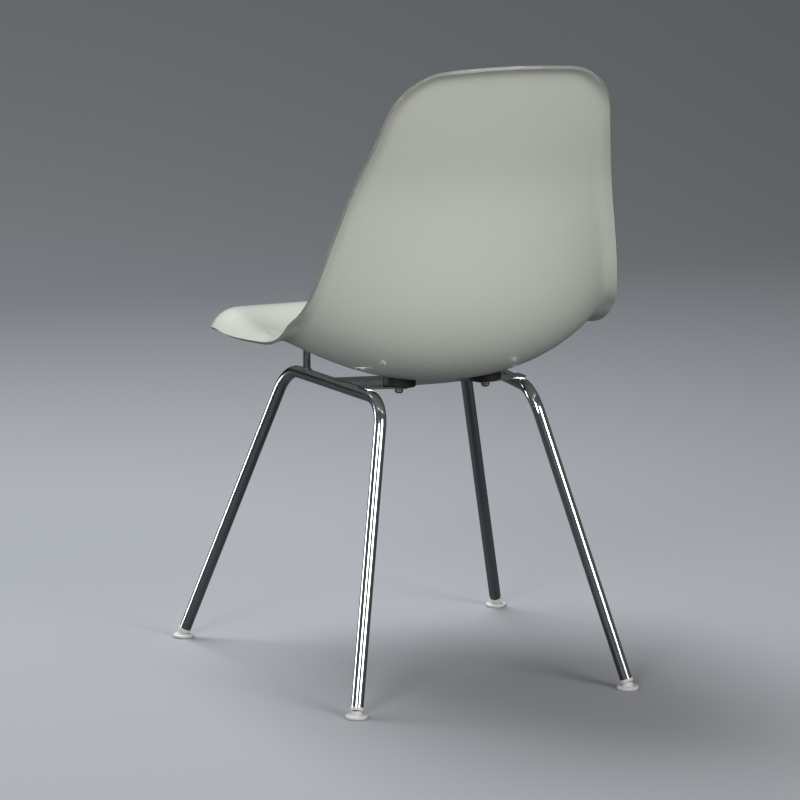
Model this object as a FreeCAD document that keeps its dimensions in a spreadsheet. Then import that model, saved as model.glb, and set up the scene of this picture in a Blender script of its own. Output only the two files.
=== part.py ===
import FreeCAD, Part
import math
import operator
import os
from types import SimpleNamespace

import Sketcher
from FreeCAD import Matrix, Placement, Rotation, Vector

# A moulded shell chair on two bent side tubes. Millimetres and degrees.
# Z is up, the chair faces -Y and its left side is +X.
# The origin lies on the floor, under the middle of the chair.

doc = FreeCAD.newDocument("shell_chair")

# Driving dimensions

SIZES = {
    # Shell runs follow the centre line of the upper face, from the front edge to the top edge.
    # The lowest point of the seat lies seat_low_rise above the middle of the side tubes.
    "shell_run": 874.8,
    "hip_run": 455.3,
    "shell_wall": 4.0,
    "seat_low_rise": 16.9,
    "seat_low_depth": 71.4,
    # Headings of the centre line above the horizontal, and the runs over which they change
    "lip_heading": 29.7,
    "lip_run": 118.3,
    "seat_heading": -14.4,
    "hip_bend_run": 442.3,
    "hip_bend_length": 324.1,
    "back_heading": 86.4,
    "crest_bend_run": 697.3,
    "crest_bend_length": 102.6,
    "crest_heading": 71.4,
    # Half widths, measured over the surface, at the front edge, the hips and the top edge
    "front_half_width": 214.8,
    "hip_half_width": 243.6,
    "top_half_width": 145.3,
    # Above the hips the sides run from an even ease at 0 to a straight taper at 1
    "taper_straightness": 0.54,
    # Slope of the side edges at the same three stations, and how it grows from the middle
    "front_rise": -2.3,
    "hip_rise": 46.3,
    "top_rise": 9.7,
    "rise_power": 1.12,
    # Rolled lip: how far the rim turns out, the band over which it does and the share of a
    # quarter turn that it ends with
    "front_lip_drop": 26.0,
    "hip_lip_drop": 16.9,
    "top_lip_drop": 12.0,
    "front_lip_band": 40.0,
    "side_lip_band": 24.0,
    "lip_turn": 0.93,
    # Outline of the shell
    "front_corner": 74.5,
    "top_corner": 57.9,
    "front_bow": 9.4,
    "top_bow": 14.6,
    # Side tubes
    "tube_diameter": 16.0,
    "tube_wall": 1.5,
    "tube_height": 386.3,
    "tube_spacing": 232.92,
    "front_corner_depth": 146.8,
    "rear_corner_depth": 120.7,
    "tube_bend": 45.0,
    "front_foot_spacing": 470.8,
    "rear_foot_spacing": 384.8,
    "front_foot_depth": 268.7,
    "rear_foot_depth": 238.3,
    # Cross strap
    "strap_depth": -6.2,
    "strap_width": 38.0,
    "strap_metal": 2.5,
    "strap_flange": 6.0,
    "strap_rise": 6.1,
    "strap_sag": 3.0,
    "strap_flat": 60.0,
    # Mount tabs and the posts that lift the front pair
    "front_mount_spacing": 146.0,
    "front_mount_depth": 91.2,
    "rear_mount_spacing": 122.8,
    "rear_mount_depth": 72.6,
    "tab_width": 24.0,
    "tab_metal": 2.5,
    "tab_overhang": 5.0,
    "tab_weld_sink": 0.2,
    "front_tab_slope": 5.0,
    "post_diameter": 10.0,
    "weld_width": 2.0,
    "weld_height": 3.0,
    # Rubber shock mounts and their steel inserts
    "mount_diameter": 43.0,
    "mount_height": 10.0,
    "mount_edge": 1.5,
    "insert_diameter": 26.0,
    "insert_flange": 2.5,
    "insert_boss": 11.0,
    "insert_depth": 7.0,
    # M6 fasteners
    "screw_diameter": 6.0,
    "screw_reach": 6.0,
    "screw_head": 11.5,
    "screw_head_height": 4.0,
    "screw_recess": 2.0,
    "screw_clearance": 0.3,
    "lock_washer_diameter": 11.0,
    "lock_washer_thickness": 1.6,
    "lock_washer_split": 1.0,
    "flat_washer_diameter": 14.0,
    "flat_washer_thickness": 1.2,
    # Levelling glides
    "glide_diameter": 29.2,
    "glide_thickness": 5.0,
    "glide_edge": 1.6,
    "ball_height": 6.4,
    "ball_diameter": 8.4,
    "ball_clearance": 0.05,
    "hub_diameter": 14.4,
    "hub_gap": 0.3,
    "collar_diameter": 17.5,
    "collar_start": 3.4,
    "collar_thickness": 4.0,
    "plug_length": 16.0,
    "plug_clearance": 0.02,
    "rib_count": 3.0,
    "rib_height": 0.9,
    "rib_thickness": 1.6,
    "stud_diameter": 3.8,
    "stud_length": 17.0,
    "bead_diameter": 5.4,
    "bead_length": 1.6,
    "running_clearance": 0.05,
    "glide_tilt": 26.5,
}

sheet = doc.addObject("Spreadsheet::Sheet", "sizes")
for row, (name, value) in enumerate(SIZES.items(), start=1):
    sheet.set(f"A{row}", name)
    sheet.set(f"B{row}", str(value))
    sheet.setAlias(f"B{row}", name)
doc.recompute()


# Lengths that know both their number and the formula that gives it

OPERATIONS = {"+": operator.add, "-": operator.sub, "*": operator.mul, "/": operator.truediv}


class Size:
    """A length as a number and as a formula over the sheet's cells."""

    def __init__(self, number, formula):
        self.number = number
        self.formula = formula

    def __add__(self, other):
        return combine(self, "+", other)

    def __sub__(self, other):
        return combine(self, "-", other)

    def __mul__(self, other):
        return combine(self, "*", other)

    def __truediv__(self, other):
        return combine(self, "/", other)


def as_size(value):
    return value if isinstance(value, Size) else Size(float(value), f"({float(value):.6f})")


def combine(first, sign, second):
    first = as_size(first)
    second = as_size(second)
    number = OPERATIONS[sign](first.number, second.number)
    return Size(number, f"({first.formula} {sign} {second.formula})")


# "cell" holds lengths bound to the sheet and "mm" the same lengths as plain numbers.
cell = SimpleNamespace(**{name: Size(float(sheet.get(name)), f"sizes.{name}") for name in SIZES})
mm = SimpleNamespace(**{name: float(sheet.get(name)) for name in SIZES})


def bind(item, prop, length):
    """Set a property and tie it to the sheet."""
    length = as_size(length)
    setattr(item, prop, length.number)
    item.setExpression(prop, length.formula)


# Shared ways of making a piece

def plane_of(body, role):
    return next(feature for feature in body.Origin.OriginFeatures if feature.Role == role)


def sketch_on(body, name, role):
    sketch = body.newObject("Sketcher::SketchObject", name)
    sketch.AttachmentSupport = [(plane_of(body, role), "")]
    sketch.MapMode = "FlatFace"
    return sketch


def draw_outline(sketch, corners):
    """A closed outline of straight lines, each corner tied to the sheet."""
    spots = [(as_size(across), as_size(up)) for across, up in corners]
    points = [Vector(across.number, up.number, 0) for across, up in spots]
    for start, end in zip(points, points[1:] + points[:1]):
        sketch.addGeometry(Part.LineSegment(start, end), False)
    for line, (across, up) in enumerate(spots):
        before = (line - 1) % len(spots)
        sketch.addConstraint(Sketcher.Constraint("Coincident", before, 2, line, 1))
        for kind, length in (("DistanceX", across), ("DistanceY", up)):
            number = sketch.addConstraint(Sketcher.Constraint(kind, -1, 1, line, 1, length.number))
            sketch.setExpression(f"Constraints[{number}]", length.formula)


def turned(name, corners, place):
    """A body turned about its own Z axis from corners of (radius, height)."""
    body = doc.addObject("PartDesign::Body", name)
    sketch = sketch_on(body, name + "_outline", "XZ_Plane")
    draw_outline(sketch, corners)
    turn = body.newObject("PartDesign::Revolution", name + "_turn")
    turn.Profile = sketch
    turn.ReferenceAxis = (sketch, ["V_Axis"])
    turn.Angle = 360.0
    body.Placement = place
    return body


def cylinder(name, radius, height, place):
    item = doc.addObject("Part::Cylinder", name)
    bind(item, "Radius", radius)
    bind(item, "Height", height)
    item.Placement = place
    return item


def sphere(name, radius, place):
    item = doc.addObject("Part::Sphere", name)
    bind(item, "Radius", radius)
    item.Placement = place
    return item


def cone(name, lower, upper, height, place):
    item = doc.addObject("Part::Cone", name)
    bind(item, "Radius1", lower)
    bind(item, "Radius2", upper)
    bind(item, "Height", height)
    item.Placement = place
    return item


def block(name, length, width, height, place):
    item = doc.addObject("Part::Box", name)
    bind(item, "Length", length)
    bind(item, "Width", width)
    bind(item, "Height", height)
    item.Placement = place
    return item


def cut(name, base, tool):
    item = doc.addObject("Part::Cut", name)
    item.Base = base
    item.Tool = tool
    return item


def fuse(name, shapes):
    item = doc.addObject("Part::MultiFuse", name)
    item.Shapes = shapes
    item.Refine = True
    return item


def group(name, items):
    item = doc.addObject("Part::Compound", name)
    item.Links = items
    return item


def frame_at(origin, x_axis, z_axis):
    """A placement with its Z axis along z_axis and its X axis as near to x_axis as can be."""
    z = Vector(z_axis).normalize()
    x = (x_axis - z * x_axis.dot(z)).normalize()
    y = z.cross(x)
    return Placement(Matrix(x.x, y.x, z.x, origin.x, x.y, y.y, z.y, origin.y, x.z, y.z, z.z, origin.z))


def raised(place, height):
    """The same placement, moved along its own Z axis."""
    return place.multiply(Placement(Vector(0, 0, height), Rotation()))


kept = []


def keep(item, label):
    """A finished piece, written to its own file under its label."""
    item.Label = label
    kept.append(item)
    return item


# Shell: a centre line carries cross sections that bowl upwards, and a lip rolls out at the rim.
# A point is named by (across, run): the distance from the middle and the run from the front.

CENTRE_STEPS = 2200
SECTION_STEPS = 16


def ease(amount):
    amount = min(max(amount, 0.0), 1.0)
    return amount * amount * (3 - 2 * amount)


def station(run, front, hip, top):
    """A value that eases from the front edge to the hips and on to the top edge."""
    to_hip = ease(run / mm.hip_run)
    to_top = ease((run - mm.hip_run) / (mm.shell_run - mm.hip_run))
    return front + (hip - front) * to_hip + (top - hip) * to_top


def heading(run):
    """Direction of the centre line: front lip, seat, hip bend, back and crest."""
    seat = ease(run / mm.lip_run)
    hip = ease((run - mm.hip_bend_run) / mm.hip_bend_length + 0.5)
    crest = ease((run - mm.crest_bend_run) / mm.crest_bend_length + 0.5)
    angle = mm.lip_heading + (mm.seat_heading - mm.lip_heading) * seat
    angle += (mm.back_heading - mm.seat_heading) * hip
    angle += (mm.crest_heading - mm.back_heading) * crest
    return math.radians(angle)


def centre_line():
    """Depth and height along the centre line, set by the lowest point of the seat."""
    step = mm.shell_run / CENTRE_STEPS
    points = [(0.0, 0.0)]
    for index in range(CENTRE_STEPS):
        angle = heading((index + 0.5) * step)
        depth, height = points[-1]
        points.append((depth + step * math.cos(angle), height + step * math.sin(angle)))
    seat = [point for index, point in enumerate(points) if mm.lip_run < index * step]
    low = min(seat, key=lambda point: point[1])
    shift = (mm.seat_low_depth - low[0], mm.tube_height + mm.seat_low_rise - low[1])
    return [(depth + shift[0], height + shift[1]) for depth, height in points]


CENTRE = centre_line()


def on_centre(run):
    inner = min(max(run, 0.0), mm.shell_run)
    place = inner / mm.shell_run * CENTRE_STEPS
    index = min(int(place), CENTRE_STEPS - 1)
    part = place - index
    angle = heading(inner)
    depth = CENTRE[index][0] * (1 - part) + CENTRE[index + 1][0] * part
    height = CENTRE[index][1] * (1 - part) + CENTRE[index + 1][1] * part
    over = run - inner
    return depth + over * math.cos(angle), height + over * math.sin(angle), angle


def half_width(run):
    """Half the flat width: it eases out to the hips and tapers from there to the top edge."""
    above = min(max((run - mm.hip_run) / (mm.shell_run - mm.hip_run), 0.0), 1.0)
    taper = ease(above) * (1 - mm.taper_straightness) + above * mm.taper_straightness
    width = mm.front_half_width + (mm.hip_half_width - mm.front_half_width) * ease(run / mm.hip_run)
    return width + (mm.top_half_width - mm.hip_half_width) * taper


def inside_rim(across, run):
    """Distance from the rim of the flat outline, a bar with rounded corners."""
    if run > mm.shell_run / 2:
        corner = mm.top_corner
        along = run - (mm.shell_run - corner)
    else:
        corner = mm.front_corner
        along = corner - run
    beside = abs(across) - (half_width(run) - corner)
    return corner - math.hypot(max(beside, 0), max(along, 0)) - min(max(beside, along), 0)


def rolled(share):
    """How far the lip has dropped at a share of its band: most of a quarter of an ellipse."""
    turn = mm.lip_turn * min(max(share, 0.0), 1.05)
    return (1 - math.sqrt(1 - turn ** 2)) / (1 - math.sqrt(1 - mm.lip_turn ** 2))


def upper_point(across, run):
    """A point of the upper face."""
    width = half_width(run)
    share = run / mm.shell_run
    bow = (across / width) ** 2 * (mm.front_bow * (1 - share) - mm.top_bow * share)
    depth, height, angle = on_centre(run + bow)
    rise = math.radians(station(run, mm.front_rise, mm.hip_rise, mm.top_rise))
    out = abs(across)
    step = out / SECTION_STEPS
    reach = 0.0
    lift = 0.0
    for index in range(SECTION_STEPS):
        slope = rise * ((index + 0.5) * step / width) ** mm.rise_power
        reach += math.cos(slope) * step
        lift += math.sin(slope) * step
    slope = rise * (out / width) ** mm.rise_power
    drop = station(run, mm.front_lip_drop, mm.hip_lip_drop, mm.top_lip_drop)
    band = station(run, mm.front_lip_band, mm.side_lip_band, mm.side_lip_band)
    roll = drop * rolled(1 - inside_rim(across, run) / band)
    reach += roll * math.sin(slope)
    lift -= roll * math.cos(slope)
    side = 1 if across >= 0 else -1
    return Vector(side * reach, depth - lift * math.sin(angle), height + lift * math.cos(angle))


def lower_point(across, run):
    """The point of the lower face, one wall below the upper point and square to the surface."""
    nudge = 0.5
    sideways = upper_point(across + nudge, run) - upper_point(across - nudge, run)
    along = upper_point(across, run + nudge) - upper_point(across, run - nudge)
    return upper_point(across, run) - sideways.cross(along).normalize() * mm.shell_wall


ROWS = 44
COLUMNS = 28


def end_edge(share, corner, end_run):
    """Half of the front or top edge and an eighth of its corners, as (across, distance from the edge)."""
    straight = half_width(end_run) - corner
    length = share * (straight + corner * math.pi / 4)
    if length <= straight:
        return length, 0.0
    turn = (length - straight) / corner
    inwards = corner * (1 - math.cos(turn))
    run = abs(end_run - inwards)
    return half_width(run) - corner * (1 - math.sin(turn)), inwards


def side_edge(share):
    """The side of the outline from the middle of the front corner to the middle of the top corner."""
    front = mm.front_corner * math.pi / 4
    top = mm.top_corner * math.pi / 4
    straight = mm.shell_run - mm.front_corner - mm.top_corner
    length = share * (front + straight + top)
    inset = 0.0
    if length < front:
        turn = math.pi / 4 + length / mm.front_corner
        run = mm.front_corner * (1 - math.cos(turn))
        inset = mm.front_corner * (1 - math.sin(turn))
    elif length <= front + straight:
        run = mm.front_corner + length - front
    else:
        turn = (length - front - straight) / mm.top_corner
        run = mm.shell_run - mm.top_corner * (1 - math.sin(turn))
        inset = mm.top_corner * (1 - math.cos(turn))
    return half_width(run) - inset, run


def flat_point(column, row):
    """A point of the flat outline, spanned between its four edges."""
    share = abs(column)
    front_across, front_run = end_edge(share, mm.front_corner, 0.0)
    top_across, below_top = end_edge(share, mm.top_corner, mm.shell_run)
    side_across, side_run = side_edge(row)
    front_corner = side_edge(0.0)
    top_corner = side_edge(1.0)
    across = front_across * (1 - row) + top_across * row
    across += share * (side_across - front_corner[0] * (1 - row) - top_corner[0] * row)
    run = front_run * (1 - row) + (mm.shell_run - below_top) * row
    run += side_run - front_corner[1] * (1 - row) - top_corner[1] * row
    return across if column >= 0 else -across, run


def crowded(share):
    """A share from -1 to 1, drawn towards the ends, where the lip rolls."""
    return 0.25 * share + 0.75 * math.sin(math.pi / 2 * share)


def pole_places(spans):
    """Where the poles of a cubic curve belong along it, as shares from -1 to 1."""
    places = [0, 1 / 3] + list(range(1, spans)) + [spans - 1 / 3, spans]
    return [crowded(2 * place / spans - 1) for place in places]


def tightened(line):
    """Poles moved outwards a little, so that the curve runs through the points that they came from."""
    poles = list(line)
    for index in range(3, len(line) - 3):
        before, here, after = line[index - 1:index + 2]
        poles[index] = here - (before - here * 2 + after) / 6
    return poles


def face_through(point):
    """A cubic surface with its poles on a grid over the flat outline."""
    grid = []
    for row in pole_places(ROWS):
        across = [point(*flat_point(column, (row + 1) / 2)) for column in pole_places(COLUMNS)]
        grid.append(tightened(across))
    columns = [tightened(column) for column in zip(*grid)]
    poles = [list(row) for row in zip(*columns)]
    surface = Part.BSplineSurface()
    surface.buildFromPolesMultsKnots(
        poles, [4] + [1] * (ROWS - 1) + [4], [4] + [1] * (COLUMNS - 1) + [4],
        list(range(ROWS + 1)), list(range(COLUMNS + 1)), False, False, 3, 3)
    return surface.toShape()


def seat_shell():
    upper = face_through(upper_point)
    lower = face_through(lower_point)
    rims = []
    for above, below in zip(upper.Edges, lower.Edges):
        rims.append(Part.makeRuledSurface(above, below))
    skin = Part.makeShell([upper, lower] + rims)
    skin.sewShape()
    solid = Part.Solid(skin)
    if solid.Volume < 0:
        solid.reverse()
    return solid


shell = doc.addObject("Part::Feature", "shell")
shell.Shape = seat_shell()
shell.Placement = Placement()
keep(shell, "seat_shell")


def underside(x, y):
    """Height of the shell's lower face over a point of the floor."""
    probe = Part.makeLine(Vector(x, y, 0), Vector(x, y, 2 * mm.tube_height))
    return shell.Shape.common(probe).BoundBox.ZMin


# Side tubes: each is one tube bent in a plane that leans outwards and toes in to the rear.

TUBE_RADIUS = cell.tube_diameter / 2
SIDES = {"left": 1, "right": -1}
ENDS = {"front": -1, "rear": 1}


def foot_ball(side, end):
    """Centre of the ball joint of a foot."""
    front = end == "front"
    x = SIDES[side] * (mm.front_foot_spacing if front else mm.rear_foot_spacing) / 2
    y = ENDS[end] * (mm.front_foot_depth if front else mm.rear_foot_depth)
    return Vector(x, y, mm.ball_height)


def rail_line(side):
    """Middle point and rearward direction of the level part of a side tube."""
    along = foot_ball(side, "rear") - foot_ball(side, "front")
    return Vector(SIDES[side] * mm.tube_spacing / 2, 0, mm.tube_height), along.normalize()


def on_rail(side, y):
    middle, along = rail_line(side)
    return middle + along * (y / along.y)


def tube_corner(side, end):
    depth = mm.front_corner_depth if end == "front" else mm.rear_corner_depth
    return on_rail(side, ENDS[end] * depth)


def leg_frame(side, end):
    """Placement at a foot's ball centre with Z up along the leg and X towards the other foot."""
    ball = foot_ball(side, end)
    other = foot_ball(side, "rear" if end == "front" else "front")
    return frame_at(ball, other - ball, tube_corner(side, end) - ball)


COLLAR_TOP = cell.collar_start + cell.collar_thickness


def side_tube(side):
    """A tube swept from the front foot over two bends to the rear foot."""
    body = doc.addObject("PartDesign::Body", side + "_tube_body")
    body.Placement = raised(leg_frame(side, "front"), COLLAR_TOP.number)
    inverse = body.Placement.inverse()
    rear_end = raised(leg_frame(side, "rear"), COLLAR_TOP.number).Base
    stops = [Vector(0, 0, 0)]
    for point in (tube_corner(side, "front"), tube_corner(side, "rear"), rear_end):
        local = inverse.multVec(point)
        stops.append(Vector(local.x, local.z, 0))

    path = sketch_on(body, side + "_tube_path", "XZ_Plane")
    begin = stops[0]
    pieces = []
    for before, corner, after in zip(stops, stops[1:], stops[2:]):
        back = (before - corner).normalize()
        ahead = (after - corner).normalize()
        half_angle = back.getAngle(ahead) / 2
        trim = mm.tube_bend / math.tan(half_angle)
        middle = (back + ahead).normalize()
        centre = corner + middle * (mm.tube_bend / math.sin(half_angle))
        enter = corner + back * trim
        leave = corner + ahead * trim
        pieces.append(Part.LineSegment(begin, enter))
        pieces.append(Part.Arc(enter, centre - middle * mm.tube_bend, leave))
        begin = leave
    pieces.append(Part.LineSegment(begin, stops[-1]))
    for piece in pieces:
        path.addGeometry(piece, False)
    for arc in (1, 3):
        number = path.addConstraint(Sketcher.Constraint("Radius", arc, mm.tube_bend))
        path.setExpression(f"Constraints[{number}]", cell.tube_bend.formula)

    ring = sketch_on(body, side + "_tube_ring", "XY_Plane")
    for index, radius in enumerate((TUBE_RADIUS, TUBE_RADIUS - cell.tube_wall)):
        ring.addGeometry(Part.Circle(Vector(0, 0, 0), Vector(0, 0, 1), radius.number), False)
        ring.addConstraint(Sketcher.Constraint("Coincident", index, 3, -1, 1))
        number = ring.addConstraint(Sketcher.Constraint("Radius", index, radius.number))
        ring.setExpression(f"Constraints[{number}]", radius.formula)

    pipe = body.newObject("PartDesign::AdditivePipe", side + "_tube_sweep")
    pipe.Profile = ring
    pipe.Spine = (path, [])
    return keep(body, side + "_side_tube")


def rail_envelope(name, side):
    """The outside of a tube's level part, for what is welded to it."""
    middle, along = rail_line(side)
    length = cell.front_corner_depth + cell.rear_corner_depth
    start = on_rail(side, -mm.front_corner_depth)
    return cylinder(name, TUBE_RADIUS, length, frame_at(start, Vector(0, 0, 1), along))


for side in SIDES:
    side_tube(side)


# Cross strap: a shallow channel between the side tubes, its ends coped to them.

def strap_line(offset):
    """Corners of the strap's face, lowered by an offset, from right to left."""
    rear_edge = mm.strap_depth + mm.strap_width / 2
    end = on_rail("left", rear_edge).x - 0.5
    top = cell.tube_height + cell.strap_rise - offset
    low = top - cell.strap_sag
    flat = cell.strap_flat / 2
    return [(-end, top), (flat * -1, low), (flat, low), (end, top)]


def cross_strap():
    body = doc.addObject("PartDesign::Body", "strap_body")
    body.Placement = Placement(Vector(0, mm.strap_depth, 0), Rotation())
    outline = sketch_on(body, "strap_outline", "XZ_Plane")
    draw_outline(outline, strap_line(0) + list(reversed(strap_line(cell.strap_flange + cell.strap_metal))))
    pad = body.newObject("PartDesign::Pad", "strap_pad")
    pad.Profile = outline
    bind(pad, "Length", cell.strap_width)
    pad.Midplane = True
    doc.recompute()
    channel = sketch_on(body, "strap_channel", "XZ_Plane")
    below = cell.strap_flange + cell.strap_metal * 3
    draw_outline(channel, strap_line(cell.strap_metal) + list(reversed(strap_line(below))))
    hollow = body.newObject("PartDesign::Pocket", "strap_hollow")
    hollow.Profile = channel
    bind(hollow, "Length", cell.strap_width - cell.strap_metal * 2)
    hollow.Midplane = True
    doc.recompute()
    piece = body
    for side in SIDES:
        piece = cut("strap_coped_" + side, piece, rail_envelope("strap_rail_" + side, side))
    return keep(piece, "cross_strap")


cross_strap()


# Mounts: a tab reaches inwards from each side tube, the front pair raised on posts.

def mount_point(side, end):
    front = end == "front"
    spacing = mm.front_mount_spacing if front else mm.rear_mount_spacing
    depth = mm.front_mount_depth if front else mm.rear_mount_depth
    return Vector(SIDES[side] * spacing / 2, ENDS[end] * depth, 0)


def tab_frame(side, end):
    """Placement on a tab's upper face under the mount: Z square to the tab, X towards the tube."""
    spot = mount_point(side, end)
    outwards = SIDES[side]
    spot.z = underside(spot.x, spot.y) - mm.mount_height
    pitch = underside(spot.x, spot.y + 10) - underside(spot.x, spot.y - 10)
    rail = on_rail(side, spot.y)
    if end == "front":
        rise = math.tan(math.radians(mm.front_tab_slope))
    else:
        seat = rail.z + mm.tube_diameter / 2 - mm.tab_weld_sink + mm.tab_metal
        rise = (seat - spot.z) / abs(rail.x - spot.x)
    across = Vector(outwards, 0, rise)
    along = Vector(0, 20, pitch)
    up = across.cross(along) * outwards
    return frame_at(spot, across, up)


FRAMES = {(side, end): tab_frame(side, end) for side in SIDES for end in ENDS}
SCREW_HOLE = cell.screw_diameter / 2 + cell.screw_clearance


def mount_tab(side, end):
    """A plate with a round end and a screw hole, lying on its tube or on its post."""
    place = FRAMES[side, end]
    body = doc.addObject("PartDesign::Body", f"{side}_{end}_tab_body")
    body.Placement = place
    reach = abs(on_rail(side, place.Base.y).x - place.Base.x) + mm.tab_overhang
    half = cell.tab_width / 2
    sketch = sketch_on(body, f"{side}_{end}_tab_outline", "XY_Plane")
    r = half.number
    sketch.addGeometry(Part.LineSegment(Vector(0, -r, 0), Vector(reach, -r, 0)), False)
    sketch.addGeometry(Part.LineSegment(Vector(reach, -r, 0), Vector(reach, r, 0)), False)
    sketch.addGeometry(Part.LineSegment(Vector(reach, r, 0), Vector(0, r, 0)), False)
    sketch.addGeometry(Part.Arc(Vector(0, r, 0), Vector(-r, 0, 0), Vector(0, -r, 0)), False)
    sketch.addGeometry(Part.Circle(Vector(0, 0, 0), Vector(0, 0, 1), SCREW_HOLE.number), False)
    for line in range(3):
        sketch.addConstraint(Sketcher.Constraint("Coincident", line, 2, line + 1, 1))
    sketch.addConstraint(Sketcher.Constraint("Coincident", 3, 2, 0, 1))
    sketch.addConstraint(Sketcher.Constraint("Coincident", 3, 3, -1, 1))
    sketch.addConstraint(Sketcher.Constraint("Coincident", 4, 3, -1, 1))
    for curve, radius in ((3, half), (4, SCREW_HOLE)):
        number = sketch.addConstraint(Sketcher.Constraint("Radius", curve, radius.number))
        sketch.setExpression(f"Constraints[{number}]", radius.formula)
    pad = body.newObject("PartDesign::Pad", f"{side}_{end}_tab_pad")
    pad.Profile = sketch
    bind(pad, "Length", cell.tab_metal)
    pad.Reversed = True
    piece = body
    if end == "rear":
        piece = cut(f"{side}_{end}_tab_coped", body, rail_envelope(f"{side}_{end}_tab_rail", side))
    return keep(piece, f"{side}_{end}_mount_tab")


def front_post(side):
    """A rod from the side tube up to the front tab, with its weld, saddled on the tube."""
    place = FRAMES[side, "front"]
    foot = on_rail(side, place.Base.y)
    upright = Placement(foot, Rotation())
    rod = cylinder(side + "_post_rod", cell.post_diameter / 2, cell.mount_height * 10, upright)
    weld_foot = raised(upright, mm.tube_diameter / 2 - 1.0)
    flare = cone(side + "_post_weld", cell.post_diameter / 2 + cell.weld_width,
                 cell.post_diameter / 2, cell.weld_height, weld_foot)
    whole = fuse(side + "_post_whole", [rod, flare])
    saddled = cut(side + "_post_saddled", whole, rail_envelope(side + "_post_rail", side))
    size = cell.front_mount_spacing
    over = raised(place, -mm.tab_metal).multiply(Placement(Vector(-size.number, -size.number, 0), Rotation()))
    above = block(side + "_post_trim", size * 2, size * 2, size, over)
    return keep(cut(side + "_post_trimmed", saddled, above), side + "_front_post")


def shock_mount(side, end):
    """A rubber puck between tab and shell, moulded round its insert."""
    place = FRAMES[side, end]
    name = f"{side}_{end}"
    radius = cell.mount_diameter / 2
    edge = cell.mount_edge
    corners = [(0, 0), (radius - edge, 0), (radius, edge)]
    corners += [(radius, cell.mount_height * 2), (0, cell.mount_height * 2)]
    puck = turned(name + "_puck", corners, place)
    doc.recompute()
    bedded = puck.Shape.cut(shell.Shape)
    lowest = min(bedded.Solids, key=lambda solid: solid.CenterOfMass.z)
    flange = cell.insert_diameter / 2
    boss = cell.insert_boss / 2
    bore = cell.screw_diameter / 2
    step = cell.insert_depth - cell.insert_flange
    profile = [(bore, 0), (boss, 0), (boss, step), (flange, step)]
    profile += [(flange, cell.insert_depth), (bore, cell.insert_depth)]
    insert = turned(name + "_insert", profile, place)
    plug_profile = [(0, 0), (boss, 0), (boss, step), (flange, step)]
    plug_profile += [(flange, cell.insert_depth), (0, cell.insert_depth)]
    hollow = turned(name + "_insert_hollow", plug_profile, place)
    doc.recompute()
    rubber = doc.addObject("Part::Feature", name + "_rubber")
    rubber.Shape = lowest.cut(hollow.Shape)
    rubber.Placement = Placement()
    keep(rubber, name + "_shock_mount")
    keep(insert, name + "_mount_insert")


for end in ENDS:
    for side in SIDES:
        mount_tab(side, end)
        shock_mount(side, end)
for side in SIDES:
    front_post(side)


# Fasteners: a screw from below with a spring washer and a flat washer under each tab

def flat_washer(side, end):
    hole = SCREW_HOLE
    rim = cell.flat_washer_diameter / 2
    thick = cell.flat_washer_thickness
    place = raised(FRAMES[side, end], -mm.tab_metal - mm.flat_washer_thickness)
    return turned(f"{side}_{end}_flat_washer", [(hole, 0), (rim, 0), (rim, thick), (hole, thick)], place)


def lock_washer(side, end):
    hole = SCREW_HOLE
    rim = cell.lock_washer_diameter / 2
    thick = cell.lock_washer_thickness
    drop = mm.tab_metal + mm.flat_washer_thickness + mm.lock_washer_thickness
    place = raised(FRAMES[side, end], -drop)
    name = f"{side}_{end}_lock_washer"
    ring = turned(name + "_ring", [(hole, 0), (rim, 0), (rim, thick), (hole, thick)], place)
    shift = Placement(Vector(0, -mm.lock_washer_split / 2, -thick.number / 2), Rotation())
    slit = block(name + "_slit", cell.lock_washer_diameter, cell.lock_washer_split, thick * 2,
                 place.multiply(shift))
    return cut(name, ring, slit)


def mount_screw(side, end):
    """A pan head screw with a crossed recess, its shank ending in the insert."""
    drop = cell.tab_metal + cell.flat_washer_thickness + cell.lock_washer_thickness
    head = cell.screw_head / 2
    shank = cell.screw_diameter / 2
    tall = cell.screw_head_height
    chamfer = tall / 4
    tip = tall + drop + cell.screw_reach
    place = raised(FRAMES[side, end], -drop.number - tall.number)
    name = f"{side}_{end}_screw"
    corners = [(0, 0), (head * 0.7, 0), (head, tall / 2), (head, tall), (shank, tall)]
    corners += [(shank, tip - chamfer), (shank - chamfer, tip), (0, tip)]
    blank = turned(name + "_blank", corners, place)
    slots = []
    for turn in (0, 90):
        slot = place.multiply(Placement(Vector(0, 0, 0), Rotation(Vector(0, 0, 1), turn)))
        shift = Placement(Vector(-head.number / 2, -mm.screw_diameter / 10, 0), Rotation())
        slots.append(block(f"{name}_slot_{turn}", head, cell.screw_diameter / 5, cell.screw_recess,
                           slot.multiply(shift)))
    return cut(name, blank, fuse(name + "_cross", slots))


corners_of_seat = [(side, end) for end in ENDS for side in SIDES]
keep(group("screws", [mount_screw(*corner) for corner in corners_of_seat]), "mount_screws")
keep(group("spring_washers", [lock_washer(*corner) for corner in corners_of_seat]), "lock_washers")
keep(group("plain_washers", [flat_washer(*corner) for corner in corners_of_seat]), "flat_washers")


# Levelling glides: a ribbed plug in the tube, a ball stud that turns in it and a foot on the ball

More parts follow.
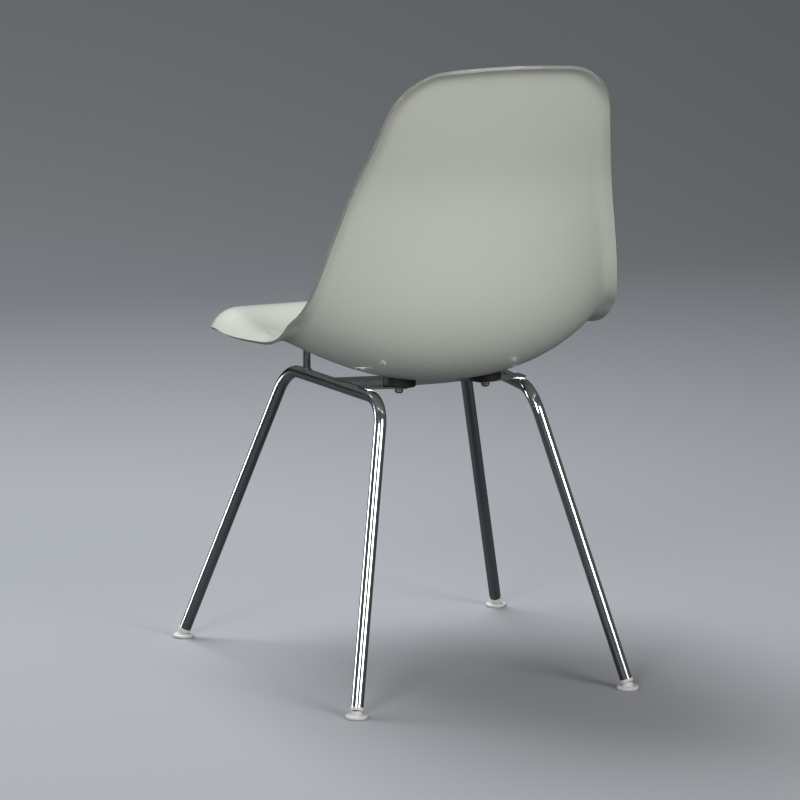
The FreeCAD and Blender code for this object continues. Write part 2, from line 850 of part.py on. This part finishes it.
def glide_plug(side, end):
    """Collar and ribbed plug, hollowed for the stud and, below, for the hub of the foot."""
    place = leg_frame(side, end)
    name = f"{side}_{end}_glide"
    collar = cell.collar_diameter / 2
    core = TUBE_RADIUS - cell.tube_wall - cell.plug_clearance - cell.rib_height
    crest = core + cell.rib_height
    top = COLLAR_TOP + cell.plug_length
    corners = [(0, cell.collar_start), (collar, cell.collar_start), (collar, COLLAR_TOP), (core, COLLAR_TOP)]
    pitch = cell.plug_length / (mm.rib_count + 1)
    for rib in range(1, int(mm.rib_count) + 1):
        foot = COLLAR_TOP + pitch * rib - cell.rib_thickness / 2
        corners += [(core, foot), (crest, foot), (core, foot + cell.rib_thickness)]
    corners += [(core, top), (0, top)]
    blank = turned(name + "_blank", corners, place)
    bore = cell.stud_diameter / 2 + cell.running_clearance
    pocket = cell.bead_diameter / 2 + cell.running_clearance
    room = cell.running_clearance * 2
    shaft = cylinder(name + "_bore", bore, cell.stud_length + room, place)
    bead_start = mm.stud_length - mm.bead_length - room.number
    bead = cylinder(name + "_bead_room", pocket, cell.bead_length + room * 2, raised(place, bead_start))
    dome = sphere(name + "_dome_room", cell.hub_diameter / 2 + cell.hub_gap, place)
    hollow = fuse(name + "_hollow", [shaft, bead, dome])
    return keep(cut(name + "_plug_cut", blank, hollow), f"{side}_{end}_glide_plug")


def ball_stud(side, end):
    place = leg_frame(side, end)
    name = f"{side}_{end}_stud"
    ball = sphere(name + "_ball", cell.ball_diameter / 2, place)
    shank = cylinder(name + "_shank", cell.stud_diameter / 2, cell.stud_length, place)
    start = raised(place, mm.stud_length - mm.bead_length)
    bead = cylinder(name + "_bead", cell.bead_diameter / 2, cell.bead_length, start)
    return keep(fuse(name + "_whole", [ball, shank, bead]), f"{side}_{end}_ball_stud")


def glide_foot(side, end):
    """A disc with a domed hub, snapped over the ball and open above for the tilt of the stud."""
    centre = foot_ball(side, end)
    floor = Placement(Vector(centre.x, centre.y, 0), Rotation())
    middle = Placement(centre, Rotation())
    name = f"{side}_{end}_foot"
    radius = cell.glide_diameter / 2
    edge = cell.glide_edge
    thick = cell.glide_thickness
    corners = [(0, 0), (radius - edge, 0), (radius - edge * 0.3, edge * 0.3), (radius, edge)]
    corners += [(radius - edge * 0.1, thick - edge * 0.6), (radius - edge * 0.8, thick - edge * 0.1)]
    corners += [(radius - edge * 2, thick), (0, thick)]
    disc = turned(name + "_disc", corners, floor)
    hub = sphere(name + "_hub", cell.hub_diameter / 2, middle)
    under = block(name + "_under", cell.glide_diameter, cell.glide_diameter, cell.glide_diameter,
                  Placement(Vector(centre.x - radius.number, centre.y - radius.number, -mm.glide_diameter),
                            Rotation()))
    whole = fuse(name + "_whole", [disc, cut(name + "_hub_cut", hub, under)])
    socket_radius = cell.ball_diameter / 2 + cell.ball_clearance
    socket = sphere(name + "_socket", socket_radius, middle)
    neck = math.degrees(math.asin(mm.stud_diameter / 2 / socket_radius.number))
    opening = math.tan(math.radians(mm.glide_tilt + neck + 1.0))
    mouth = cone(name + "_mouth", 0, cell.hub_diameter * opening, cell.hub_diameter, middle)
    return keep(cut(name + "_cut", whole, fuse(name + "_room", [socket, mouth])), f"{side}_{end}_glide_foot")


for end in ENDS:
    for side in SIDES:
        glide_plug(side, end)
        ball_stud(side, end)
        glide_foot(side, end)


# Check every object, then write one file for each piece.

doc.recompute()
for item in doc.Objects:
    if "Invalid" in item.State or "Error" in item.State:
        raise RuntimeError(f"{item.Label} did not build: {item.State}")
for item in kept:
    if item.Shape.isNull() or not item.Shape.isValid():
        raise RuntimeError(f"{item.Label} has no valid shape")

os.makedirs("parts", exist_ok=True)
for item in kept:
    item.Shape.exportStep(os.path.join("parts", item.Label + ".step"))
    print(item.Label, len(item.Shape.Solids), round(item.Shape.Volume, 1))
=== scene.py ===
# %% [markdown]
# # A moulded shell chair
# The chair is one shell of glass fibre and resin on two bent chromed tubes. Four rubber mounts
# hold the shell, and four white glides stand the chair level on the floor. The solids come
# measured and in place, so this lesson adds what a drawing office leaves out: finishes,
# a sanded rim, light and a camera.

# %% Load the measured chair
import math

import bpy
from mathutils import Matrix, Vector


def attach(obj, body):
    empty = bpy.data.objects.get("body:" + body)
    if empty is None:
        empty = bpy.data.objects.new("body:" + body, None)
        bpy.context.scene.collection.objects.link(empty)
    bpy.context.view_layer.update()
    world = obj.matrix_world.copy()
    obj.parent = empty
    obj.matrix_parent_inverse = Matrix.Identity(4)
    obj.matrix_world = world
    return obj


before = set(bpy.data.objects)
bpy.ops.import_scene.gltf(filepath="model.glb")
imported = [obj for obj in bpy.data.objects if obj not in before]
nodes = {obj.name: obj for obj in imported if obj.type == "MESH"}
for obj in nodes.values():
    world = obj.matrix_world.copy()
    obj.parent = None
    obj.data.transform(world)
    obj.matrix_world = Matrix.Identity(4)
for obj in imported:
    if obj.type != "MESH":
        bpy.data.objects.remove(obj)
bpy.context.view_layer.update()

# %% [markdown]
# ## The camera
# The picture is taken from behind the chair and a little above the seat, with a long lens from
# six metres. A long lens keeps the four legs nearly parallel, as they are in the photograph.
# Aiming a camera at a point is easier than typing its angles, so the direction is worked out.

# %% Place the camera
def aim(item, target):
    """Turn a camera or lamp so that it looks at a point."""
    direction = Vector(target) - item.location
    item.rotation_euler = direction.to_track_quat("-Z", "Y").to_euler()


EYE = (2.4066, 5.4711, 1.4602)
AIM = (0.02212, -0.0152, 0.35713)
lens = bpy.data.cameras.new("long_lens")
lens.sensor_width = 36.0
lens.lens = 206.67
lens.clip_end = 60.0
camera = bpy.data.objects.new("camera", lens)
bpy.context.scene.collection.objects.link(camera)
camera.location = EYE
aim(camera, AIM)
bpy.context.scene.camera = camera
print("camera stands", round((Vector(EYE) - Vector(AIM)).length, 2), "m away")

# %% [markdown]
# ## Floor and light
# A plain pale floor that curves up into a wall has no horizon line, as in a photo studio.
# Chrome only shows what stands round it. A photographer sets dark cards out of the picture, so
# that bright tubes get dark streaks too. Here the floor does that job itself: it is pale when it
# is looked at, and darker when the chair reflects it.
# A large soft lamp hangs over the chair and two tall ones stand behind it, one on each side, so
# the shell shades softly. A low narrow lamp in front draws long bright streaks on the tubes.

# %% Helpers for materials
# A Mix node has sockets for every kind of value. These are the places of the ones for colours.
MIX_SHARE, MIX_FIRST, MIX_SECOND, MIX_RESULT = 0, 6, 7, 2


def new_material(name, **values):
    """A material with a Principled shader, whose plain numbers are set on its own sockets."""
    material = bpy.data.materials.new(name)
    material.use_nodes = True
    tree = material.node_tree
    tree.nodes.clear()
    shader = tree.nodes.new("ShaderNodeBsdfPrincipled")
    output = tree.nodes.new("ShaderNodeOutputMaterial")
    tree.links.new(shader.outputs["BSDF"], output.inputs["Surface"])
    for socket, value in values.items():
        shader.inputs[socket.replace("_", " ")].default_value = value
    return material, tree, shader


def add_node(tree, kind, **settings):
    """A new node with some of its settings."""
    node = tree.nodes.new(kind)
    for key, value in settings.items():
        setattr(node, key, value)
    return node


def blend_colours(tree, mask, first, second):
    """Mix two colours, each given as numbers or as the output of another node."""
    mix = add_node(tree, "ShaderNodeMix", data_type="RGBA")
    tree.links.new(mask, mix.inputs[MIX_SHARE])
    for socket, colour in ((mix.inputs[MIX_FIRST], first), (mix.inputs[MIX_SECOND], second)):
        if isinstance(colour, tuple):
            socket.default_value = colour
        else:
            tree.links.new(colour, socket)
    return mix.outputs[MIX_RESULT]


def srgb(red, green, blue):
    """A colour as a screen shows it, turned into the linear numbers that the shader needs."""
    linear = []
    for part in (red, green, blue):
        part = part / 255
        linear.append(part / 12.92 if part <= 0.04045 else ((part + 0.055) / 1.055) ** 2.4)
    return (*linear, 1.0)


def deselect():
    """Leave edit mode and drop the selection, so the next operator acts on one thing only."""
    if bpy.context.object and bpy.context.object.mode != "OBJECT":
        bpy.ops.object.mode_set(mode="OBJECT")
    bpy.ops.object.select_all(action="DESELECT")


def take(item):
    """Select one object and make it the active one."""
    deselect()
    item.select_set(True)
    bpy.context.view_layer.objects.active = item


# %% Sweep the floor up into a wall
PAPER_SIZE = 14.0
PAPER_SHIFT = 1.0
WALL_HEIGHT = 7.0
WALL_LEAN = -0.001
BEND_SIZE = 3.0
BEND_STEPS = 24


def studio_floor():
    """A plane whose far edge is lifted, with the crease rounded off."""
    deselect()
    bpy.ops.mesh.primitive_plane_add(size=PAPER_SIZE, location=(0, PAPER_SHIFT, 0))
    floor = bpy.context.object
    floor.name = "studio_floor"
    bpy.ops.object.mode_set(mode="EDIT")
    bpy.ops.mesh.select_all(action="DESELECT")
    bpy.ops.object.mode_set(mode="OBJECT")
    for edge in floor.data.edges:
        ends = [floor.data.vertices[index].co.y for index in edge.vertices]
        edge.select = max(ends) < 0
    bpy.ops.object.mode_set(mode="EDIT")
    bpy.ops.mesh.select_mode(type="EDGE")
    lift = {"value": (0, WALL_LEAN, WALL_HEIGHT)}
    bpy.ops.mesh.extrude_region_move(TRANSFORM_OT_translate=lift)
    bpy.ops.object.mode_set(mode="OBJECT")
    near, crease = 0.01, 0.1 - PAPER_SIZE / 2
    for edge in floor.data.edges:
        ends = [floor.data.vertices[index].co for index in edge.vertices]
        edge.select = all(abs(end.z) < near and end.y < crease for end in ends)
    bpy.ops.object.mode_set(mode="EDIT")
    bpy.ops.mesh.bevel(offset=BEND_SIZE, segments=BEND_STEPS)
    bpy.ops.object.mode_set(mode="OBJECT")
    bpy.ops.object.shade_smooth()
    return floor


floor = studio_floor()
paper, paper_tree, paper_shader = new_material("backdrop_paper", Roughness=0.75)
paper_shader.inputs["Specular IOR Level"].default_value = 0.2
SEEN, LIGHTING, MIRRORED = srgb(166, 168, 172), srgb(112, 114, 117), srgb(52, 54, 57)
rays = add_node(paper_tree, "ShaderNodeLightPath")
bounce = blend_colours(paper_tree, rays.outputs["Is Glossy Ray"], LIGHTING, MIRRORED)
tone = blend_colours(paper_tree, rays.outputs["Is Camera Ray"], bounce, SEEN)
paper_tree.links.new(tone, paper_shader.inputs["Base Color"])
floor.data.materials.append(paper)
print("floor points:", len(floor.data.vertices))

# %% Hang the lamps
def soft_lamp(name, place, target, size, power, colour=(1.0, 1.0, 1.0)):
    """A rectangular lamp that looks at a point of the chair."""
    light = bpy.data.lights.new(name, "AREA")
    light.shape = "RECTANGLE"
    light.size, light.size_y = size
    light.energy = power
    light.color = colour
    lamp = bpy.data.objects.new(name, light)
    bpy.context.scene.collection.objects.link(lamp)
    lamp.location = place
    aim(lamp, target)
    return lamp


COOL = (0.93, 0.97, 1.0)
SEAT_BOTTOM, TUBE_BEND, MID_LEG = (0, 0, 0.5), (0, 0, 0.4), (0, 0, 0.3)
soft_lamp("overhead_lamp", (0.5, -1.2, 2.9), TUBE_BEND, size=(2.0, 2.0), power=96, colour=COOL)
soft_lamp("left_lamp", (3.3, 3.6, 2.5), SEAT_BOTTOM, size=(1.4, 2.2), power=92)
soft_lamp("right_lamp", (-1.6, 4.6, 2.6), SEAT_BOTTOM, size=(2.0, 2.2), power=118)
soft_lamp("low_lamp", (3.6, -3.0, 0.7), MID_LEG, size=(0.6, 1.4), power=34)

world = bpy.data.worlds.new("studio_air")
bpy.context.scene.world = world
world.use_nodes = True
background = world.node_tree.nodes["Background"]
background.inputs["Color"].default_value = (0.50, 0.51, 0.53, 1)
background.inputs["Strength"].default_value = 0.16
bpy.context.scene.view_settings.view_transform = "Standard"

# %% [markdown]
# ## Shared surface effects
# Real surfaces are never quite even. Two effects are used by more than one finish, so each is
# built once as a node group: a soft mottle that varies a value from place to place, and a fine
# dust that settles where a surface looks up.

# %% Build the mottle group
def ramp(tree, source, low, high, start, end):
    """Spread a value from one span over another, held at both ends."""
    spread = add_node(tree, "ShaderNodeMapRange", interpolation_type="SMOOTHSTEP")
    ends = {"From Min": low, "From Max": high, "To Min": start, "To Max": end}
    for socket, value in ends.items():
        if isinstance(value, (int, float)):
            spread.inputs[socket].default_value = value
        else:
            tree.links.new(value, spread.inputs[socket])
    tree.links.new(source, spread.inputs["Value"])
    return spread.outputs["Result"]


def mottle_group():
    """A value that drifts softly between two limits over the surface."""
    group = bpy.data.node_groups.new("soft_mottle", "ShaderNodeTree")
    for name, value in (("Scale", 8.0), ("Low", 0.0), ("High", 1.0)):
        socket = group.interface.new_socket(name, in_out="INPUT", socket_type="NodeSocketFloat")
        socket.default_value = value
    group.interface.new_socket("Value", in_out="OUTPUT", socket_type="NodeSocketFloat")
    given = add_node(group, "NodeGroupInput")
    result = add_node(group, "NodeGroupOutput")
    spot = add_node(group, "ShaderNodeTexCoord")
    noise = add_node(group, "ShaderNodeTexNoise")
    noise.inputs["Detail"].default_value = 3.0
    group.links.new(spot.outputs["Object"], noise.inputs["Vector"])
    group.links.new(given.outputs["Scale"], noise.inputs["Scale"])
    low, high = given.outputs["Low"], given.outputs["High"]
    drift = ramp(group, noise.outputs["Fac"], 0.15, 0.85, low, high)
    group.links.new(drift, result.inputs["Value"])
    return group


MOTTLE = mottle_group()

# %% Build the dust group
def dust_group():
    """A mask of specks that is strongest where the surface faces up."""
    group = bpy.data.node_groups.new("settled_dust", "ShaderNodeTree")
    for name, value in (("Scale", 900.0), ("Amount", 0.3)):
        socket = group.interface.new_socket(name, in_out="INPUT", socket_type="NodeSocketFloat")
        socket.default_value = value
    group.interface.new_socket("Mask", in_out="OUTPUT", socket_type="NodeSocketFloat")
    given = add_node(group, "NodeGroupInput")
    result = add_node(group, "NodeGroupOutput")
    spot = add_node(group, "ShaderNodeTexCoord")
    specks = add_node(group, "ShaderNodeTexNoise")
    specks.inputs["Detail"].default_value = 2.0
    group.links.new(spot.outputs["Object"], specks.inputs["Vector"])
    group.links.new(given.outputs["Scale"], specks.inputs["Scale"])
    shape = add_node(group, "ShaderNodeNewGeometry")
    split = add_node(group, "ShaderNodeSeparateXYZ")
    group.links.new(shape.outputs["Normal"], split.inputs["Vector"])
    upward = ramp(group, split.outputs["Z"], 0.1, 0.95, 0.15, 1.0)
    grains = ramp(group, specks.outputs["Fac"], 0.52, 0.72, 0.0, 1.0)
    both = add_node(group, "ShaderNodeMath", operation="MULTIPLY")
    group.links.new(upward, both.inputs[0])
    group.links.new(grains, both.inputs[1])
    scaled = add_node(group, "ShaderNodeMath", operation="MULTIPLY")
    group.links.new(both.outputs[0], scaled.inputs[0])
    group.links.new(given.outputs["Amount"], scaled.inputs[1])
    group.links.new(scaled.outputs[0], result.inputs["Mask"])
    return group


DUST = dust_group()


def use_group(tree, group, **values):
    """Place a shared group in a material with its own values."""
    node = add_node(tree, "ShaderNodeGroup", node_tree=group)
    for name, value in values.items():
        node.inputs[name].default_value = value
    return node.outputs[0]


def rough_up(tree, shader, height, strength, distance):
    """Let a height pattern tilt the surface a little."""
    bump = add_node(tree, "ShaderNodeBump")
    bump.inputs["Strength"].default_value = strength
    bump.inputs["Distance"].default_value = distance
    tree.links.new(height, bump.inputs["Height"])
    tree.links.new(bump.outputs["Normal"], shader.inputs["Normal"])


# %% [markdown]
# ## The shell finish
# The shell is pressed from loose glass strands in a pale green-white resin. Under its gloss the
# strands lie in every direction and show as faint threads. Thin bands of a stretched noise make
# threads, and three layers turned against each other keep them from lining up. Shade is painted
# into the creases and under the lip as a dark olive colour.

# %% Make the moulded resin
STRAND_STRETCH = (1.0, 0.08, 0.35)
STRAND_WIDTH = 0.035
STRAND_LAYERS = [(260, (0.3, 0.2, 0.0)), (240, (0.9, 0.4, 1.1)), (280, (0.2, 1.2, 2.2))]
RESIN_PALE, RESIN_WARM = srgb(212, 215, 202), srgb(208, 213, 201)
# The last colour here is painted shade: a dark olive for the creases and the groove under the lip.
STRAND_WHITE, SHELL_DUST, CREASE_SHADE = srgb(220, 223, 212), srgb(170, 168, 160), srgb(128, 128, 104)


def strands(tree, scale, turn):
    """Thin threads in one direction: a stretched noise, kept where it crosses its middle value."""
    spot = add_node(tree, "ShaderNodeTexCoord")
    lay = add_node(tree, "ShaderNodeMapping")
    lay.inputs["Rotation"].default_value = turn
    lay.inputs["Scale"].default_value = STRAND_STRETCH
    noise = add_node(tree, "ShaderNodeTexNoise")
    noise.inputs["Scale"].default_value = scale
    noise.inputs["Detail"].default_value = 2.0
    tree.links.new(spot.outputs["Object"], lay.inputs["Vector"])
    tree.links.new(lay.outputs["Vector"], noise.inputs["Vector"])
    away = add_node(tree, "ShaderNodeMath", operation="SUBTRACT")
    away.inputs[1].default_value = 0.5
    tree.links.new(noise.outputs["Fac"], away.inputs[0])
    size = add_node(tree, "ShaderNodeMath", operation="ABSOLUTE")
    tree.links.new(away.outputs[0], size.inputs[0])
    return ramp(tree, size.outputs[0], 0.0, STRAND_WIDTH, 1.0, 0.0)


def moulded_resin():
    """Glossy green-white resin with faint strands under the surface and painted shade in its
    creases.
    """
    material, tree, shader = new_material("moulded_resin", Coat_Weight=0.35, Coat_Roughness=0.08)
    shader.inputs["Specular IOR Level"].default_value = 0.5
    layers = [strands(tree, scale, turn) for scale, turn in STRAND_LAYERS]
    first = add_node(tree, "ShaderNodeMath", operation="MAXIMUM")
    tree.links.new(layers[0], first.inputs[0])
    tree.links.new(layers[1], first.inputs[1])
    second = add_node(tree, "ShaderNodeMath", operation="MAXIMUM")
    tree.links.new(first.outputs[0], second.inputs[0])
    tree.links.new(layers[2], second.inputs[1])
    faint = ramp(tree, second.outputs[0], 0.0, 1.0, 0.0, 0.22)
    drift = use_group(tree, MOTTLE, Scale=3.0, Low=0.0, High=1.0)
    resin = blend_colours(tree, drift, RESIN_PALE, RESIN_WARM)
    threaded = blend_colours(tree, faint, resin, STRAND_WHITE)
    dust = use_group(tree, DUST, Scale=1400.0, Amount=0.05)
    dusty = blend_colours(tree, dust, threaded, SHELL_DUST)
    # Painted shade: ambient occlusion darkens the resin in creases, under the lip and near the
    # mounts.
    nook = add_node(tree, "ShaderNodeAmbientOcclusion", samples=8)
    nook.inputs["Distance"].default_value = 0.03
    shade = ramp(tree, nook.outputs["AO"], 0.45, 0.98, 0.85, 0.0)
    crease_shaded = blend_colours(tree, shade, dusty, CREASE_SHADE)
    tree.links.new(crease_shaded, shader.inputs["Base Color"])
    gloss = use_group(tree, MOTTLE, Scale=6.0, Low=0.26, High=0.32)
    tree.links.new(gloss, shader.inputs["Roughness"])
    rough_up(tree, shader, second.outputs[0], 0.06, 0.00015)
    return material


RESIN = moulded_resin()

# %% [markdown]
# ## Chrome, zinc, rubber and nylon
# Polished chrome is almost a mirror, so it needs little colour and a low roughness with a few
# soft smears from hands and cloths. Zinc plate on screws is greyer and duller. The rubber is
# matt black with a fine grain, and the nylon glides are white with scuffs.

# %% Make the metals
METAL_DUST = srgb(150, 150, 148)
DUST_DULLS = 0.3


def chrome(name, tint, low, high, scale):
    """Bright plating with soft smears and a little dust."""
    material, tree, shader = new_material(name, Metallic=1.0)
    smear = use_group(tree, MOTTLE, Scale=scale, Low=low, High=high)
    dust = use_group(tree, DUST, Scale=1600.0, Amount=0.25)
    colour = blend_colours(tree, dust, tint, METAL_DUST)
    tree.links.new(colour, shader.inputs["Base Color"])
    dulled = add_node(tree, "ShaderNodeMath", operation="ADD", use_clamp=True)
    tree.links.new(smear, dulled.inputs[0])
    share = add_node(tree, "ShaderNodeMath", operation="MULTIPLY")
    share.inputs[1].default_value = DUST_DULLS
    tree.links.new(dust, share.inputs[0])
    tree.links.new(share.outputs[0], dulled.inputs[1])
    tree.links.new(dulled.outputs[0], shader.inputs["Roughness"])
    ripple = use_group(tree, MOTTLE, Scale=scale, Low=0.0, High=1.0)
    rough_up(tree, shader, ripple, 0.02, 0.0001)
    return material


TUBE_CHROME = chrome("tube_chrome", srgb(228, 230, 232), low=0.09, high=0.14, scale=30.0)
PLATE_CHROME = chrome("plate_chrome", srgb(214, 216, 218), low=0.10, high=0.20, scale=60.0)
ZINC = chrome("zinc_plate", srgb(188, 188, 180), low=0.26, high=0.38, scale=220.0)

# %% Make the rubber and the nylon
PLASTIC_DUST = srgb(150, 148, 142)


def plain_finish(name, light, dark, low, high, grain, strength):
    """A dull moulded finish with two close colours and a fine grain."""
    material, tree, shader = new_material(name)
    shader.inputs["Specular IOR Level"].default_value = 0.45
    drift = use_group(tree, MOTTLE, Scale=120.0, Low=0.0, High=1.0)
    colour = blend_colours(tree, drift, light, dark)
    dust = use_group(tree, DUST, Scale=1500.0, Amount=0.35)
    dusty = blend_colours(tree, dust, colour, PLASTIC_DUST)
    tree.links.new(dusty, shader.inputs["Base Color"])
    gloss = use_group(tree, MOTTLE, Scale=90.0, Low=low, High=high)
    tree.links.new(gloss, shader.inputs["Roughness"])
    texture = use_group(tree, MOTTLE, Scale=grain, Low=0.0, High=1.0)
    rough_up(tree, shader, texture, strength, 0.0003)
    return material


RUBBER = plain_finish("mount_rubber", srgb(26, 26, 27), srgb(34, 34, 34),
                      low=0.45, high=0.6, grain=1400.0, strength=0.25)
NYLON = plain_finish("glide_nylon", srgb(226, 227, 224), srgb(214, 215, 211),
                     low=0.32, high=0.45, grain=700.0, strength=0.12)

# %% [markdown]
# ## Dress the measured pieces
# Every measured piece keeps its shape and gets its finish by name.

# %% Put each finish on its pieces
FINISHES = [
    ("seat_shell", RESIN), ("side_tube", TUBE_CHROME), ("front_post", TUBE_CHROME),
    ("cross_strap", PLATE_CHROME), ("mount_tab", PLATE_CHROME), ("shock_mount", RUBBER),
    ("mount_insert", ZINC), ("screws", ZINC), ("washers", ZINC), ("ball_stud", ZINC),
    ("glide_plug", NYLON), ("glide_foot", NYLON),
]


def finish_for(name):
    """The finish whose ending the piece's name carries."""
    return next(material for ending, material in FINISHES if name.endswith(ending))


for name, item in nodes.items():
    material = finish_for(name)
    if not item.material_slots:
        item.data.materials.append(material)
    for place in item.material_slots:
        place.material = material
print("dressed:", len(nodes))

# %% [markdown]
# ## The sanded rim
# The rim of the shell is where the pressed sheet was trimmed. It is sanded round and shows the
# yellowish cut ends of the glass. The measured shell has a square rim, so a ribbon is lifted off
# a copy of it: the copy is split at its sharp edges and falls apart into the two large faces of
# the sheet, the ribbon between them and a few slivers. The ribbon is kept, pushed out by a
# millimetre and rounded.

# %% Lift the ribbon off a copy of the shell
SAME_POINT = 0.00001
SHARP_EDGE = math.radians(30)
BEAD_HEIGHT = 0.001
BEAD_ROUNDING = 0.0009
BEAD_STEPS = 3


def surface_area(item):
    """The area of all faces of an object together."""
    return sum(face.area for face in item.data.polygons)


def rim_ribbon(shell):
    """The narrow band between the two faces of the shell, as a new object."""
    copy = shell.copy()
    copy.data = shell.data.copy()
    copy.name = "sanded_rim"
    bpy.context.scene.collection.objects.link(copy)
    take(copy)
    bpy.ops.object.mode_set(mode="EDIT")
    bpy.ops.mesh.select_mode(type="EDGE")
    bpy.ops.mesh.select_all(action="SELECT")
    bpy.ops.mesh.remove_doubles(threshold=SAME_POINT)
    bpy.ops.mesh.select_all(action="DESELECT")
    bpy.ops.mesh.edges_select_sharp(sharpness=SHARP_EDGE)
    bpy.ops.mesh.edge_split(type="EDGE")
    bpy.ops.mesh.select_all(action="SELECT")
    bpy.ops.mesh.separate(type="LOOSE")
    bpy.ops.object.mode_set(mode="OBJECT")
    parts = sorted(bpy.context.selected_objects, key=surface_area, reverse=True)
    print("split into", [len(part.data.polygons) for part in parts])
    upper_face, lower_face, ribbon, *slivers = parts
    for part in (upper_face, lower_face, *slivers):
        bpy.data.objects.remove(part)
    ribbon.name = "sanded_rim"
    return ribbon


def round_over(ribbon):
    """Push the ribbon out of the shell and round its two long edges."""
    take(ribbon)
    bpy.ops.object.mode_set(mode="EDIT")
    bpy.ops.mesh.select_mode(type="FACE")
    bpy.ops.mesh.select_all(action="SELECT")
    bpy.ops.mesh.normals_make_consistent(inside=False)
    push = {"value": -BEAD_HEIGHT}
    bpy.ops.mesh.extrude_region_shrink_fatten(TRANSFORM_OT_shrink_fatten=push)
    bpy.ops.mesh.region_to_loop()
    bpy.ops.mesh.bevel(offset=BEAD_ROUNDING, segments=BEAD_STEPS, profile=0.5)
    bpy.ops.mesh.select_all(action="SELECT")
    bpy.ops.mesh.normals_make_consistent(inside=False)
    bpy.ops.object.mode_set(mode="OBJECT")
    bpy.ops.object.shade_smooth()


def cut_glass():
    """Pale yellowish resin with the fine grain of sanded glass ends."""
    material, tree, shader = new_material("cut_glass_rim")
    drift = use_group(tree, MOTTLE, Scale=60.0, Low=0.0, High=1.0)
    colour = blend_colours(tree, drift, srgb(226, 226, 206), srgb(206, 202, 168))
    ends = use_group(tree, MOTTLE, Scale=900.0, Low=0.0, High=0.35)
    flecked = blend_colours(tree, ends, colour, srgb(186, 178, 138))
    tree.links.new(flecked, shader.inputs["Base Color"])
    dull = use_group(tree, MOTTLE, Scale=200.0, Low=0.42, High=0.6)
    tree.links.new(dull, shader.inputs["Roughness"])
    grain = use_group(tree, MOTTLE, Scale=1600.0, Low=0.0, High=1.0)
    rough_up(tree, shader, grain, 0.2, 0.0002)
    return material


rim = rim_ribbon(nodes["seat_shell"])
round_over(rim)
rim.data.materials.clear()
rim.data.materials.append(cut_glass())
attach(rim, "frame")
print("rim faces:", len(rim.data.polygons))
